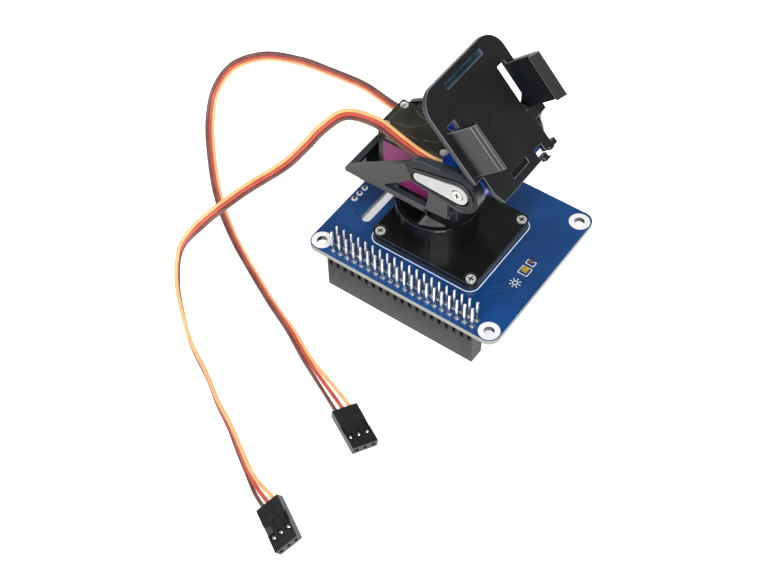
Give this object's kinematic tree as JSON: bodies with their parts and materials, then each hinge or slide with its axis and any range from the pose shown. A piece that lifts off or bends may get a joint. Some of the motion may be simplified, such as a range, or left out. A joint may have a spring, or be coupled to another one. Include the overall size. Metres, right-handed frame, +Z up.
{
  "type": "pan tilt camera mount",
  "caption": "Circuit board with a socket header that carries a two-servo pan and tilt head, a snap-in camera plate and two plugged servo leads.",
  "frame": {"origin": "centre of the underside of the socket header", "axes": "+X along the header, +Y from the header to the far edge of the board, +Z up"},
  "size_m": [0.1272, 0.1379, 0.0807],
  "materials": {
    "nylon": "satin moulded nylon",
    "solder_mask": "glossy solder mask",
    "black_plastic": "satin",
    "steel": "zinc plated",
    "brass": "machined",
    "smoked_plastic": "smoked, translucent",
    "blue_plastic": "blue, translucent",
    "white_plastic": "satin",
    "green_board": "solder mask",
    "label": "printed foil",
    "sensor": "clear resin",
    "lead_insulation": "three wires: brown, red and orange"
  },
  "bodies": {
    "board": {"circuit_board": "solder_mask", "gpio_header": "black_plastic", "light_header": "black_plastic", "pan_servo_header": "black_plastic", "tilt_servo_header": "black_plastic", "light_sensor": "sensor", "sensor_capacitor": "steel", "controller_chip": "black_plastic", "voltage_regulator": "black_plastic", "pan_base": "nylon", "base_screw_1": "steel", "base_screw_2": "steel", "base_screw_3": "steel", "base_screw_4": "steel", "base_nut_1": "steel", "base_nut_2": "steel", "base_nut_3": "steel", "base_nut_4": "steel", "pan_horn": "white_plastic", "pan_horn_screw": "steel", "pan_output_gear": "brass", "pan_lead": "lead_insulation", "tilt_lead": "lead_insulation", "pan_plug": "black_plastic", "tilt_plug": "black_plastic"},
    "pan_head": {"yoke_left": "nylon", "yoke_right": "nylon", "yoke_screw_1": "steel", "yoke_screw_2": "steel", "pan_servo_cover": "smoked_plastic", "pan_servo_case": "black_plastic", "pan_servo_gear_case": "smoked_plastic", "pan_servo_screw_1": "steel", "pan_servo_screw_2": "steel", "pan_servo_screw_3": "steel", "pan_servo_screw_4": "steel", "pan_servo_motor": "steel", "pan_servo_potentiometer": "black_plastic", "pan_servo_control_board": "green_board", "pan_servo_label": "label", "tilt_horn": "white_plastic", "tilt_horn_screw": "steel", "tilt_output_gear": "brass"},
    "tilt_head": {"camera_plate": "nylon", "tilt_servo_cover": "blue_plastic", "tilt_servo_case": "blue_plastic", "tilt_servo_gear_case": "blue_plastic", "tilt_servo_screw_1": "steel", "tilt_servo_screw_2": "steel", "tilt_servo_screw_3": "steel", "tilt_servo_screw_4": "steel", "tilt_servo_motor": "steel", "tilt_servo_potentiometer": "black_plastic", "tilt_servo_control_board": "green_board", "pivot_screw": "steel", "tilt_servo_mounting_screw": "steel"}
  },
  "joints": [
    {"name": "pan", "type": "hinge", "parent": "board", "child": "pan_head", "pos_m": [-0.005, 0.0243, 0.0249], "axis": [0, 0, 1], "range_deg": [-90, 90], "deforming": ["pan_lead", "tilt_lead"]},
    {"name": "tilt", "type": "hinge", "parent": "pan_head", "child": "tilt_head", "pos_m": [0.0121, 0.0243, 0.0533], "axis": [0, -1, 0], "range_deg": [-90, 12], "deforming": ["tilt_lead"]}
  ]
}
